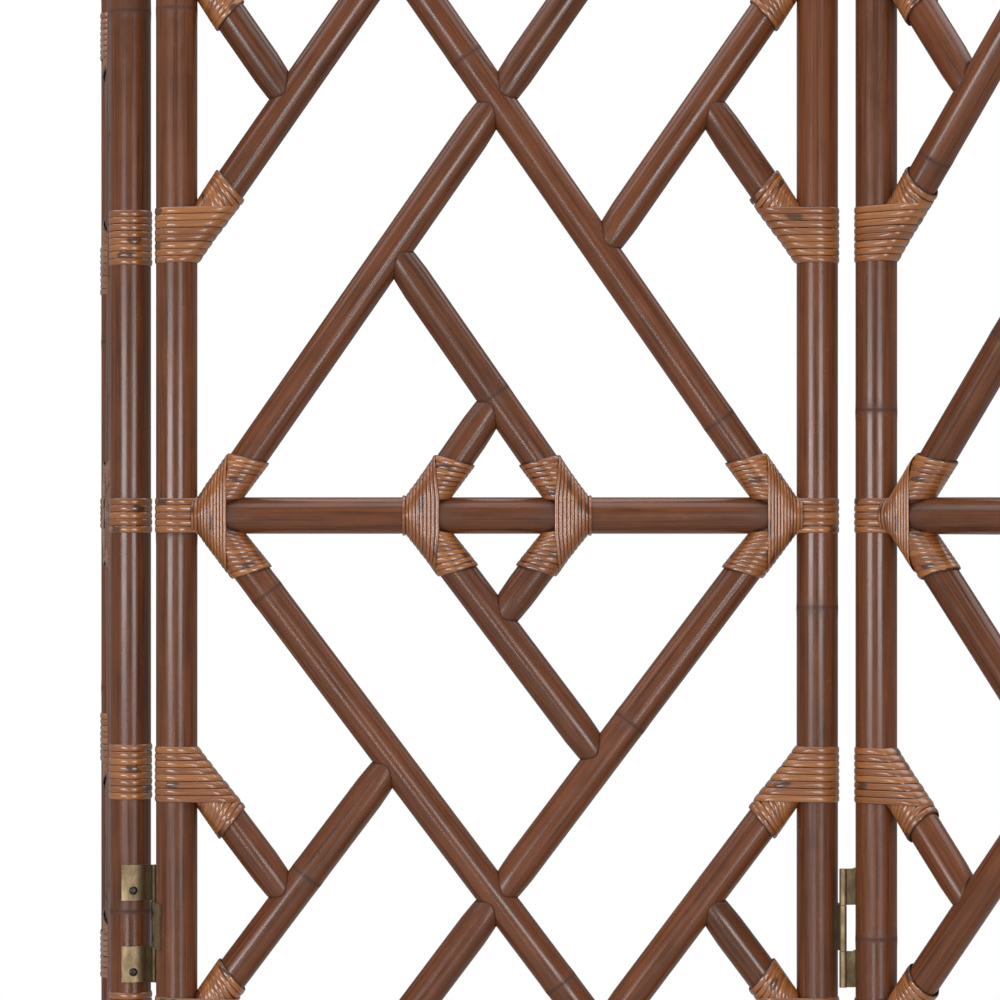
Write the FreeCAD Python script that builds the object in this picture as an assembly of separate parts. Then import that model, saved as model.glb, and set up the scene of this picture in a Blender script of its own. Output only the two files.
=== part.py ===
"""Three-panel folding rattan screen, in millimetres, +Z up.

Each panel is a ladder of two posts and four rails filled with diamond fretwork. Every pole
is coped to the pole it meets and dowelled to it. Wound rattan peel binds the joints at the
posts and on the rails. Brass butt hinges with strap leaves join the panels: the left gap
has its pins behind the panels, the right gap has its pins in front, so the screen folds
in a zigzag. The model stands in a half-open fold, with the middle panel square to Y.
"""
import FreeCAD, Part
import math
import os

V = FreeCAD.Vector

# Panel frame
POST_DIAMETER = 30.4
POST_SPACING = 470.0        # axis to axis across one panel
POST_END = 30.0             # post left over beyond the outermost rail's axis
RAIL_DIAMETER = 26.8
MIDDLE_CELL_HEIGHT = 562.0  # between the two inner rails
OUTER_CELL_HEIGHT = 609.0   # between an inner rail and the top or bottom rail

# Diamond fretwork
POLE_DIAMETER = 25.5
CORNER_INSET = 23.6         # post axis to where the brace axes meet on a rail
KNOT_OFFSET = 59.0          # panel centre line to where the small diamond meets a rail
COPE_GAP = 0.2              # glue line between a coped end and the pole it meets
DOWEL_DIAMETER = 6.0
DOWEL_FIT = 0.05
DOWEL_IN_MATE = 8.0
DOWEL_IN_POLE = 16.0

# Rattan peel bindings
PEEL_THICKNESS = 1.5
PEEL_GAP = 0.4              # between a turn and the pole under it
LAYER_GAP = 0.3             # between a turn and the turns under it
TURN_GAP = 0.5              # between neighbouring turns of one winding
BAND_PEEL = 4.6             # width of the peel round a post and a fret together
BAND_TURNS = 8
FAN_PEEL = 2.8              # visible width of the overlapping peel round one pole
FAN_TURNS = 6
WEB_PEEL = 1.6              # visible width of the overlapping upright peel over a rail
WEB_TURNS = 10
WEB_START = 7.0             # first upright turn, back from the meeting of the braces
TIE_COUNT = 5               # flat ties round a post at a rail
FAN_FIRST_AT_POST = 15.0    # along a fret from the post to the first turn of its fan
FAN_LENGTH_AT_POST = 26.0
FAN_LENGTH_AT_RAIL = 25.0   # height of a fan above or below a rail
FAN_TILTS_AT_POST = (33.0, 16.0)     # degrees from square to the pole, first and last turn
FAN_LAST_TILT_AT_RAIL = -7.0         # the first turn there lies along the rail
TURN_SLACK = 0.6            # straight run that lets a turn climb to the next

# Hinges
PIN_OUT = 17.5              # post axis to pin axis, across the gap
PIN_BACK = 17.5             # panel plane to pin axis
PIN_DIAMETER = 3.0
PIN_FIT = 0.05
KNUCKLE_DIAMETER = 5.4
KNUCKLE_GAP = 0.4
LEAF_THICKNESS = 1.6
LEAF_SEAT = 0.15
OUTER_LEAF_HEIGHT = 26.4
INNER_LEAF_HEIGHT = 33.0
OUTER_LEAF_REACH = 24.0     # degrees round the post past the middle of the gap
INNER_LEAF_REACH = 46.0
HINGE_LEVELS = (-800.0, -20.0, 800.0)  # hinge centres above the middle of a panel
SCREW_DIAMETER = 3.0
SCREW_LENGTH = 12.0
SCREW_HEAD_DIAMETER = 5.5
SCREW_HEAD_HEIGHT = 1.3
SCREW_FIT = 0.05
SCREW_EDGE = 7.4            # leaf edge to screw
SCREW_TURN = 6.0            # degrees round the post from the middle of the gap

# Fold of the side panels in this pose, in degrees from flat
LEFT_FOLD = 84.0
RIGHT_FOLD = 38.0
SIDES = ("left", "middle", "right")

# Worked out from the sizes above
POST_RADIUS = POST_DIAMETER / 2
RAIL_RADIUS = RAIL_DIAMETER / 2
POLE_RADIUS = POLE_DIAMETER / 2
POST_X = POST_SPACING / 2
BRACE_REACH = POST_X - CORNER_INSET
SPLIT = (1 - KNOT_OFFSET / BRACE_REACH) / 2  # where a fret leaves a brace, from the crossing
POST_HEIGHT = MIDDLE_CELL_HEIGHT + 2 * OUTER_CELL_HEIGHT + 2 * POST_END
MID_HEIGHT = POST_HEIGHT / 2
RAIL_LEVELS = {
    "bottom_rail": POST_END,
    "lower_rail": POST_END + OUTER_CELL_HEIGHT,
    "upper_rail": POST_END + OUTER_CELL_HEIGHT + MIDDLE_CELL_HEIGHT,
    "top_rail": POST_HEIGHT - POST_END,
}
LEFT_PIN = V(-POST_X - PIN_OUT, PIN_BACK, 0)
RIGHT_PIN = V(POST_X + PIN_OUT, -PIN_BACK, 0)
PANEL_PITCH = POST_SPACING + 2 * PIN_OUT
UP = V(0, 0, 1)
DEPTH = V(0, 1, 0)


def at(x, z, y=0.0):
    """Point of a panel: x across from its centre line, z up from the floor."""
    return V(x, y, z)


class Pole:
    """Straight pole between two points, cut to the poles that it meets at its ends."""

    def __init__(self, start, end, radius):
        self.start = start
        self.end = end
        self.radius = radius
        self.along = (end - start).normalize()
        self.shape = self.cylinder(0.0)

    def cylinder(self, extra):
        return Part.makeCylinder(self.radius + extra, (self.end - self.start).Length, self.start, self.along)

    def cope(self, *mates):
        for mate in mates:
            self.shape = self.shape.cut(mate.cylinder(COPE_GAP))
        self.shape = max(self.shape.Solids, key=lambda solid: solid.Volume)
        return self


def dowel_joint(pole, point, mate, dowels):
    """Dowel along a pole's axis into the mate whose axis it meets at a point, with its bores."""
    away = pole.along if (point - pole.start).Length < (point - pole.end).Length else pole.along * -1
    square = away.cross(mate.along).Length
    first = mate.radius / square - DOWEL_IN_MATE
    length = DOWEL_IN_MATE + DOWEL_IN_POLE
    radius = DOWEL_DIAMETER / 2
    dowels.append(Part.makeCylinder(radius, length, point + away * first, away))
    bore_start = point + away * (first - DOWEL_FIT)
    bore = Part.makeCylinder(radius + DOWEL_FIT, length + 2 * DOWEL_FIT, bore_start, away)
    pole.shape = pole.shape.cut(bore)
    mate.shape = mate.shape.cut(bore)


def cells():
    """Bottom and top rail of each cell of fretwork, from the floor up."""
    names = list(RAIL_LEVELS)
    return list(zip(names, names[1:]))


def frame_poles():
    """Posts and rails of one panel."""
    poles = {}
    for name, x in (("left_post", -POST_X), ("right_post", POST_X)):
        poles[name] = Pole(at(x, 0), at(x, POST_HEIGHT), POST_RADIUS)
    for name, z in RAIL_LEVELS.items():
        poles[name] = Pole(at(-POST_X, z), at(POST_X, z), RAIL_RADIUS)
        poles[name].cope(poles["left_post"], poles["right_post"])
    return poles


def post_meeting(half):
    """Height above a cell's middle where the axes of the side frets meet a post's inner face."""
    return (POST_X - POST_RADIUS) * half / BRACE_REACH - 2 * SPLIT * half


def cell_poles(frame, low_rail, high_rail, groups, dowels):
    """Fretwork of one cell: it looks the same turned half round about its middle."""
    low = RAIL_LEVELS[low_rail]
    half = (RAIL_LEVELS[high_rail] - low) / 2
    middle = low + half
    reach = BRACE_REACH

    long_brace = Pole(at(-reach, middle + half), at(reach, middle - half), POLE_RADIUS)
    long_brace.cope(frame[high_rail], frame["left_post"], frame[low_rail], frame["right_post"])
    groups["long_braces"].append(long_brace)
    dowel_joint(long_brace, long_brace.start, frame[high_rail], dowels)
    dowel_joint(long_brace, long_brace.end, frame[low_rail], dowels)

    for side, rail, post in ((-1, low_rail, "left_post"), (1, high_rail, "right_post")):
        corner = at(side * reach, middle + side * half)
        crossing = at(0, middle)
        half_brace = Pole(corner, crossing, POLE_RADIUS).cope(frame[rail], frame[post], long_brace)
        groups["half_braces"].append(half_brace)
        dowel_joint(half_brace, corner, frame[rail], dowels)
        dowel_joint(half_brace, crossing, long_brace, dowels)

        # The small diamond: a long fret from the half brace and a short one that meets it
        leave = at(side * SPLIT * reach, middle + side * SPLIT * half)
        far_knot = at(-side * KNOT_OFFSET, middle + side * half)
        near_knot = at(side * KNOT_OFFSET, middle + side * half)
        tip = at(0, middle + side * (half - KNOT_OFFSET * half / reach))
        inner_long = Pole(leave, far_knot, POLE_RADIUS).cope(half_brace, frame[rail])
        inner_short = Pole(near_knot, tip, POLE_RADIUS).cope(inner_long, frame[rail])
        groups["inner_frets"] += [inner_long, inner_short]
        dowel_joint(inner_long, leave, half_brace, dowels)
        dowel_joint(inner_long, far_knot, frame[rail], dowels)
        dowel_joint(inner_short, near_knot, frame[rail], dowels)
        dowel_joint(inner_short, tip, inner_long, dowels)

        # The half diamond against the post, made in the same way
        leave = at(side * SPLIT * reach, middle - side * SPLIT * half)
        tip = at(side * 2 * SPLIT * reach, middle)
        climb = POST_X * half / reach - 2 * SPLIT * half
        outer_long = Pole(leave, at(side * POST_X, middle + side * climb), POLE_RADIUS)
        outer_short = Pole(tip, at(side * POST_X, middle - side * climb), POLE_RADIUS)
        outer_long.cope(long_brace, frame[post])
        outer_short.cope(outer_long, frame[post])
        groups["outer_frets"] += [outer_long, outer_short]
        dowel_joint(outer_long, leave, long_brace, dowels)
        dowel_joint(outer_long, outer_long.end, frame[post], dowels)
        dowel_joint(outer_short, tip, outer_long, dowels)
        dowel_joint(outer_short, outer_short.end, frame[post], dowels)


class Turn:
    """One turn of peel in the plane of DEPTH and a direction: two bends joined by straight runs."""

    def __init__(self, centre, direction, first, last, first_radius, last_radius):
        self.normal = direction.cross(DEPTH)
        self.direction = direction
        self.bends = (centre + direction * first, centre + direction * last)
        self.radii = (first_radius, last_radius)
        self.lean = math.asin((first_radius - last_radius) / (last - first))

    def outward(self, side):
        """Unit vector off the straight run on the front (-1) or the back (1)."""
        return self.direction * math.sin(self.lean) + DEPTH * (side * math.cos(self.lean))

    def section(self, bend, side, width):
        """Flat inner edge and crowned outer edge of the peel where a bend meets a run."""
        outward = self.outward(side)
        inner = self.bends[bend] + outward * (self.radii[bend] - PEEL_THICKNESS / 2)
        crown = inner + outward * PEEL_THICKNESS
        half = self.normal * (width / 2)
        flat = Part.makeLine(inner - half, inner + half)
        return [flat, Part.Arc(inner - half, crown, inner + half).toShape()]

    def bend_faces(self, bend, side, width):
        """Faces of a bend, which turns on from the run on the given side."""
        turned = math.pi + (2 if bend == 0 else -2) * self.lean
        edges = self.section(bend, side, width)
        return [edge.revolve(self.bends[bend], self.normal, math.degrees(turned)) for edge in edges]

    def run_faces(self, width):
        """Faces of the straight run on the front."""
        outward = self.outward(-1)
        start = self.bends[0] + outward * self.radii[0]
        end = self.bends[1] + outward * self.radii[1]
        return [edge.extrude(end - start) for edge in self.section(0, -1, width)]

    def edge_points(self, sign, width):
        """Points along one edge of the turn, for measuring its gap to the next."""
        points = []
        for bend, side in ((0, 1), (0, -1), (1, -1), (1, 1)):
            points.append(self.bends[bend] + self.outward(side) * self.radii[bend])
        points.append(self.bends[0] - self.direction * self.radii[0])
        points.append(self.bends[1] + self.direction * self.radii[1])
        return [point + self.normal * (sign * width / 2) for point in points]


def cap(edges):
    return Part.Face(Part.Wire(Part.__sortEdges__(edges)))


def solid_of(faces):
    shell = Part.Compound(faces)
    shell.sewShape()
    solid = Part.Solid(shell if shell.ShapeType == "Shell" else shell.Shells[0])
    if solid.Volume < 0:
        solid.reverse()
    return solid


def least_gap(turns, width):
    """Smallest distance on points between neighbouring turns of one winding."""
    gaps = []
    for turn, after in zip(turns, turns[1:]):
        sign = 1 if (after.bends[0] - turn.bends[0]).dot(turn.normal) > 0 else -1
        pairs = zip(turn.edge_points(sign, width), after.edge_points(-sign, width))
        gaps.append(min((a - b).Length for a, b in pairs))
    return min(gaps)


def winding(turns, width):
    """One unbroken strip of peel: each turn climbs to the next along its back."""
    faces = [cap(turns[0].section(0, 1, width))]
    for turn, after in zip(turns, turns[1:] + [None]):
        faces += turn.bend_faces(0, 1, width)
        faces += turn.run_faces(width)
        faces += turn.bend_faces(1, -1, width)
        if after:
            pairs = zip(turn.section(1, 1, width), after.section(0, 1, width))
            faces += [Part.makeRuledSurface(edge, following) for edge, following in pairs]
    faces.append(cap(turns[-1].section(1, 1, width)))
    return solid_of(faces)


def spread(first, last, count):
    return [first + (last - first) * i / (count - 1) for i in range(count)]


def fan_turns(foot, along, outer, angles, places):
    """Turns round one pole whose planes swing from the first angle to the last."""
    radius = POLE_RADIUS + PEEL_GAP + PEEL_THICKNESS / 2
    turns = []
    for angle, place in zip(angles, places):
        tilt = math.radians(angle)
        direction = outer * math.cos(tilt) - along * math.sin(tilt)
        stretch = POLE_RADIUS / math.cos(tilt) - POLE_RADIUS + abs(math.tan(tilt)) * FAN_PEEL / 2
        half = stretch + TURN_SLACK
        turns.append(Turn(foot + along * place, direction, -half, half, radius, radius))
    return turns


def upper_layer_radius():
    """Middle of peel that is wound over a fan."""
    return POLE_RADIUS + PEEL_GAP + PEEL_THICKNESS + LAYER_GAP + PEEL_THICKNESS / 2


def fan_reach(tilt):
    """How far a fan's turns stand out past the pole's own section, along their planes."""
    return TURN_SLACK + abs(math.tan(math.radians(tilt))) * FAN_PEEL / 2


def post_binding(post_x, level, inward, rising, lean):
    """Band round a post and a fret that leaves it, and the fan round the fret beside it."""
    foot = at(post_x + inward * POST_RADIUS, level)
    along = V(inward * math.sin(lean), 0, rising * math.cos(lean))
    outer = V(inward * math.cos(lean), 0, -rising * math.sin(lean))
    places = spread(FAN_FIRST_AT_POST, FAN_FIRST_AT_POST + FAN_LENGTH_AT_POST, FAN_TURNS)
    fan = fan_turns(foot, along, outer, spread(*FAN_TILTS_AT_POST, FAN_TURNS), places)

    pitch = BAND_PEEL + TURN_GAP
    height = pitch * (BAND_TURNS - 1)
    post_radius = POST_RADIUS + PEEL_GAP + PEEL_THICKNESS / 2
    fret_radius = upper_layer_radius()
    room = fan_reach(FAN_TILTS_AT_POST[0]) + math.tan(lean) * BAND_PEEL / 2
    band = []
    for offset in spread(-height / 2, height / 2, BAND_TURNS):
        fret_axis = POST_RADIUS + math.tan(lean) * rising * offset
        far = fret_axis + POLE_RADIUS / math.cos(lean) - POLE_RADIUS + room
        band.append(Turn(at(post_x, level + offset), V(inward, 0, 0), 0.0, far, post_radius, fret_radius))
    return [winding(band, BAND_PEEL), winding(fan, FAN_PEEL)], [(band, BAND_PEEL), (fan, FAN_PEEL)]


def rail_fan(vertex, inward, rising, lean):
    """Fan round a brace or fret where it leaves a rail."""
    along = V(inward * math.sin(lean), 0, rising * math.cos(lean))
    outer = V(inward * math.cos(lean), 0, -rising * math.sin(lean))
    first = RAIL_RADIUS + PEEL_GAP + TURN_GAP + FAN_PEEL / 2
    heights = spread(first, first + FAN_LENGTH_AT_RAIL, FAN_TURNS)
    angles = spread(-math.degrees(lean), FAN_LAST_TILT_AT_RAIL, FAN_TURNS)
    return fan_turns(vertex, along, outer, angles, [height / math.cos(lean) for height in heights])


def rail_web(vertex, inward, leans):
    """Upright turns over a rail and the poles above and below it, which widen with the poles."""
    radius = upper_layer_radius()
    web = []
    for i in range(WEB_TURNS):
        beyond = i * (WEB_PEEL + TURN_GAP) - WEB_START
        reach = {}
        for rising in (-1, 1):
            reach[rising] = RAIL_RADIUS
            if rising in leans:
                lean = leans[rising]
                edge = beyond + WEB_PEEL / 2
                pole_edge = edge / math.tan(lean) + POLE_RADIUS / math.sin(lean)
                reach[rising] = max(RAIL_RADIUS, pole_edge) + fan_reach(math.degrees(lean))
        centre = vertex + V(inward * beyond, 0, 0)
        slack = TURN_SLACK + RAIL_RADIUS - POLE_RADIUS
        first = POLE_RADIUS - reach[-1] - slack
        last = reach[1] - POLE_RADIUS + slack
        web.append(Turn(centre, UP, first, last, radius, radius))
    return web


def rail_binding(vertex, inward, leans):
    """Binding of a rail and the poles that meet on it: a web between one or two fans."""
    windings = [(rail_web(vertex, inward, leans), WEB_PEEL)]
    for rising, lean in leans.items():
        windings.append((rail_fan(vertex, inward, rising, lean), FAN_PEEL))
    return [winding(turns, width) for turns, width in windings], windings


def post_ties(post_x, level, inward):
    """Flat ties round the outside of a post, whose ends tuck under the web on the rail."""
    radius = POST_RADIUS + PEEL_GAP + PEEL_THICKNESS / 2
    first_web_edge = CORNER_INSET - WEB_START - WEB_PEEL / 2
    leg = first_web_edge - TURN_GAP
    pitch = BAND_PEEL + TURN_GAP
    height = pitch * (TIE_COUNT - 1)
    ties = []
    for offset in spread(-height / 2, height / 2, TIE_COUNT):
        turn = Turn(at(post_x, level + offset), V(inward, 0, 0), 0.0, leg, radius, radius)
        back = turn.section(0, 1, BAND_PEEL)
        back_leg = [edge.extrude(V(inward * leg, 0, 0)) for edge in back]
        back_end = [edge.translated(V(inward * leg, 0, 0)) for edge in back]
        faces = turn.bend_faces(0, 1, BAND_PEEL) + turn.run_faces(BAND_PEEL) + back_leg
        ties.append(solid_of(faces + [cap(turn.section(1, -1, BAND_PEEL)), cap(back_end)]))
    return ties


def panel_bindings():
    """All bindings of one panel, with their windings for measuring."""
    nodes = {"post_bindings": [], "rail_end_bindings": [], "rail_bindings": []}
    measured = []
    halves = {pair: (RAIL_LEVELS[pair[1]] - RAIL_LEVELS[pair[0]]) / 2 for pair in cells()}
    leans = {pair: math.atan2(BRACE_REACH, half) for pair, half in halves.items()}
    for pair in cells():
        middle = RAIL_LEVELS[pair[0]] + halves[pair]
        meeting = post_meeting(halves[pair])
        for inward, post_x in ((1, -POST_X), (-1, POST_X)):
            for side in (-1, 1):
                solids, turns = post_binding(post_x, middle + side * meeting, inward, -side, leans[pair])
                nodes["post_bindings"] += solids
                measured += turns
    for rail, level in RAIL_LEVELS.items():
        here = {}
        for low, high in cells():
            if low == rail:
                here[1] = leans[(low, high)]
            if high == rail:
                here[-1] = leans[(low, high)]
        for side in (-1, 1):
            solids, turns = rail_binding(at(side * BRACE_REACH, level), -side, here)
            nodes["rail_end_bindings"] += solids + post_ties(side * POST_X, level, -side)
            measured += turns
            solids, turns = rail_binding(at(side * KNOT_OFFSET, level), -side, here)
            nodes["rail_bindings"] += solids
            measured += turns
    return nodes, measured


def panel():
    """Solids of one panel by node, standing at its own centre line."""
    groups = {"long_braces": [], "half_braces": [], "inner_frets": [], "outer_frets": []}
    dowels = []
    frame = frame_poles()
    for rail in RAIL_LEVELS:
        dowel_joint(frame[rail], frame[rail].start, frame["left_post"], dowels)
        dowel_joint(frame[rail], frame[rail].end, frame["right_post"], dowels)
    for low, high in cells():
        cell_poles(frame, low, high, groups, dowels)
    nodes = {name: [pole.shape] for name, pole in frame.items()}
    for name, poles in groups.items():
        nodes[name] = [pole.shape for pole in poles]
    nodes["fret_dowels"] = dowels
    bindings, measured = panel_bindings()
    nodes.update(bindings)
    return nodes, measured


def hinge_leaf(post_x, outward, back, reach, height):
    """Strap leaf on a post: curved round its face to a tab and the knuckle on the pin."""
    inner = POST_RADIUS + LEAF_SEAT
    outer = inner + LEAF_THICKNESS
    pin_angle = math.degrees(math.atan2(PIN_BACK, PIN_OUT))
    pin_distance = math.hypot(PIN_OUT, PIN_BACK)
    turned = pin_angle + reach
    strap = Part.makeCylinder(outer, height, V(), UP, turned)
    strap = strap.cut(Part.makeCylinder(inner, height, V(), UP, 360))
    strap.rotate(V(), UP, -reach)
    tab = Part.makeBox(pin_distance - inner, LEAF_THICKNESS, height, V(inner, -LEAF_THICKNESS, 0))
    tab.rotate(V(), UP, pin_angle)
    pin_place = V(PIN_OUT, PIN_BACK, 0)
    knuckle = Part.makeCylinder(KNUCKLE_DIAMETER / 2, height, pin_place)
    bore = Part.makeCylinder(PIN_DIAMETER / 2 + PIN_FIT, height, pin_place)
    leaf = strap.fuse([tab, knuckle]).removeSplitter().cut(bore)
    return placed_on_post(leaf, post_x, outward, back)


def placed_on_post(shape, post_x, outward, back):
    """Shape drawn with +X out of the gap and +Y to the pin, set on a post."""
    if outward < 0:
        shape = shape.mirror(V(), V(1, 0, 0))
    if back < 0:
        shape = shape.mirror(V(), V(0, 1, 0))
    return shape.translated(V(post_x, 0, 0))


def screw(level):
    """Countersunk screw on a leaf, drawn pointing into the post, and its hole."""
    face = POST_RADIUS + LEAF_SEAT + LEAF_THICKNESS
    solids = []
    for fit in (0.0, SCREW_FIT):
        shank = SCREW_DIAMETER / 2 + fit
        head = SCREW_HEAD_DIAMETER / 2 + fit
        into = V(-1, 0, 0)
        body = Part.makeCylinder(shank, SCREW_LENGTH + fit, V(face, 0, level), into)
        cone = Part.makeCone(head, shank, SCREW_HEAD_HEIGHT + fit, V(face, 0, level), into)
        solid = body.fuse(cone).removeSplitter()
        solid.rotate(V(), UP, SCREW_TURN)
        solids.append(solid)
    return solids


def fit_leaf(solids, post, leaf_node, screw_node, sizes):
    """Seat one leaf on a post of a panel with its screws; sizes are its place and shape."""
    post_x, outward, back, base, height, reach, screw_levels = sizes
    leaf = hinge_leaf(post_x, outward, back, reach, height).translated(V(0, 0, base))
    for level in screw_levels:
        fastener, hole = [placed_on_post(shape, post_x, outward, back) for shape in screw(base + level)]
        leaf = leaf.cut(hole)
        solids[post][0] = solids[post][0].cut(hole)
        solids[screw_node].append(fastener)
    solids[leaf_node].append(leaf)


def hinges(panels):
    """Leaves, pins and screws of both gaps; the inner leaf is the middle panel's."""
    for gap, outward, back in (("left", -1, 1), ("right", 1, -1)):
        inner = panels["middle"]
        outer = panels[gap]
        inner_leaf = gap + "_hinge_inner_leaves"
        outer_leaf = gap + "_hinge_outer_leaves"
        pins = gap + "_hinge_pins"
        inner_post = gap + "_post"
        outer_post = "right_post" if gap == "left" else "left_post"
        inner[inner_leaf] = []
        inner[pins] = []
        inner.setdefault("hinge_screws", [])
        outer[outer_leaf] = []
        outer["hinge_screws"] = []
        for offset in HINGE_LEVELS:
            centre = MID_HEIGHT + offset
            base = centre - INNER_LEAF_HEIGHT / 2
            levels = (SCREW_EDGE, INNER_LEAF_HEIGHT - SCREW_EDGE)
            sizes = (outward * POST_X, outward, back, base, INNER_LEAF_HEIGHT, INNER_LEAF_REACH, levels)
            fit_leaf(inner, inner_post, inner_leaf, "hinge_screws", sizes)
            low = base - KNUCKLE_GAP - OUTER_LEAF_HEIGHT
            high = base + INNER_LEAF_HEIGHT + KNUCKLE_GAP
            for start in (low, high):
                sizes = (-outward * POST_X, -outward, back, start, OUTER_LEAF_HEIGHT, OUTER_LEAF_REACH)
                fit_leaf(outer, outer_post, outer_leaf, "hinge_screws", sizes + ((SCREW_EDGE,),))
            pin = Part.makeCylinder(PIN_DIAMETER / 2, high + OUTER_LEAF_HEIGHT - low, V(0, 0, low))
            pin_place = LEFT_PIN if gap == "left" else RIGHT_PIN
            inner[pins].append(pin.translated(pin_place))


def fold(shape, side, pin, angle):
    """Side panel's solid set beside the middle panel and turned on its hinge pin."""
    moved = shape.translated(V(side * PANEL_PITCH, 0, 0))
    moved.rotate(pin, UP, -angle)
    return moved


def outer_post(side, pin, angle):
    """Axis of the post at the free end of a folded side panel."""
    place = V(side * (PANEL_PITCH + POST_X), 0, 0)
    return pin + FreeCAD.Rotation(UP, -angle).multVec(place - pin)


def build():
    """Every node of the screen, stood on the floor and centred on its own outline."""
    one_panel, measured = panel()
    gap = min(least_gap(turns, width) for turns, width in measured)
    print("least gap of a winding to itself: %.2f mm" % gap)
    panels = {side: {node: list(solids) for node, solids in one_panel.items()} for side in SIDES}
    hinges(panels)
    shapes = {}
    for side, nodes in panels.items():
        for node, solids in nodes.items():
            name = node if node.startswith(("left_hinge", "right_hinge")) else side + "_panel_" + node
            if side == "left":
                solids = [fold(solid, -1, LEFT_PIN, LEFT_FOLD) for solid in solids]
            if side == "right":
                solids = [fold(solid, 1, RIGHT_PIN, RIGHT_FOLD) for solid in solids]
            shapes[name] = Part.makeCompound(solids) if len(solids) > 1 else solids[0]
    ends = outer_post(-1, LEFT_PIN, LEFT_FOLD), outer_post(1, RIGHT_PIN, RIGHT_FOLD)
    centre = (ends[0] + ends[1]) * -0.5
    return {name: shape.translated(centre) for name, shape in shapes.items()}, centre


def main():
    os.makedirs("parts", exist_ok=True)
    shapes, centre = build()
    print("middle panel stands at x %.3f y %.3f" % (centre.x, centre.y))
    for name, shape in shapes.items():
        shape.exportStep("parts/" + name + ".step")


main()
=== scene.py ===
import math
import random
from collections import namedtuple

import bmesh
import bpy
from bpy.props import FloatProperty, FloatVectorProperty, IntProperty, PointerProperty
from mathutils import Matrix, Vector


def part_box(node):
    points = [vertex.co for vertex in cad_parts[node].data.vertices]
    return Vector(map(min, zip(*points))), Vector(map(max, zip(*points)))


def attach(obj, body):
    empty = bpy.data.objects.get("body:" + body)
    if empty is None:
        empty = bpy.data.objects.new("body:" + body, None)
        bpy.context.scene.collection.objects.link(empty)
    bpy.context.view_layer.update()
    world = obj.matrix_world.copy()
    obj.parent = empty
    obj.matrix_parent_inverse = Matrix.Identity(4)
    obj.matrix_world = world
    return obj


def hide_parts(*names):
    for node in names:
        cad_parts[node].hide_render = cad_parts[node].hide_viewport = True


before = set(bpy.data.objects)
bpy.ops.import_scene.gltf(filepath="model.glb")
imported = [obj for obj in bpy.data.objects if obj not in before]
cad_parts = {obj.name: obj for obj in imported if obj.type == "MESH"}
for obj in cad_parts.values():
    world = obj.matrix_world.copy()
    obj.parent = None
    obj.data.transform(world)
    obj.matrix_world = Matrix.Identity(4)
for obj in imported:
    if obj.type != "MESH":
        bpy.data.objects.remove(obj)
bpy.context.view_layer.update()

bl_info = {
    "name": "Rattan room divider",
    "version": (1, 0, 0),
    "blender": (4, 5, 0),
    "location": "3D View > Sidebar > Divider",
    "description": "Folding screen of stained rattan poles with wound peel bindings and brass hinges",
    "category": "Object",
}

PANELS = ("left_panel", "middle_panel", "right_panel")
ACROSS = Vector((1.0, 0.0, 0.0))
DEPTH = Vector((0.0, 1.0, 0.0))
UP = Vector((0.0, 0.0, 1.0))
MM = 0.001


def linear(hex_colour):
    """Linear RGB of an sRGB hex colour."""
    values = [int(hex_colour[i:i + 2], 16) / 255 for i in (0, 2, 4)]
    return tuple(v / 12.92 if v <= 0.04045 else ((v + 0.055) / 1.055) ** 2.4 for v in values)


def length(name, description, millimetres):
    return FloatProperty(name=name, description=description, default=millimetres * MM, unit="LENGTH",
                         precision=4)


def angle(name, description, degrees):
    return FloatProperty(name=name, description=description, default=math.radians(degrees),
                         subtype="ANGLE")


def number_of(name, description, number):
    return IntProperty(name=name, description=description, default=number, min=2)


def colour(name, description, hex_colour):
    return FloatVectorProperty(name=name, description=description, default=linear(hex_colour), size=3,
                               min=0.0, max=1.0, subtype="COLOR")


class PoleSizes(bpy.types.PropertyGroup):
    """Sizes of the frame and fretwork of a panel"""
    post_diameter: length("Post diameter", "Round upright of a panel", 30.4)
    rail_diameter: length("Rail diameter", "Cross pole of a panel", 26.8)
    fret_diameter: length("Fret diameter", "Braces and frets of the diamonds", 25.5)
    corner_inset: length("Corner inset", "Post axis to where the braces meet on a rail", 23.6)
    knot_offset: length("Knot offset", "Centre line to where the small diamond meets a rail", 59.0)
    node_spacing: length("Node spacing", "Usual distance between the growth rings of a pole", 330.0)
    node_swell: length("Node swell", "How far a growth ring stands proud of the pole", 0.2)
    end_round: length("End rounding", "Eased edge of a sawn post end", 1.2)


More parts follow.
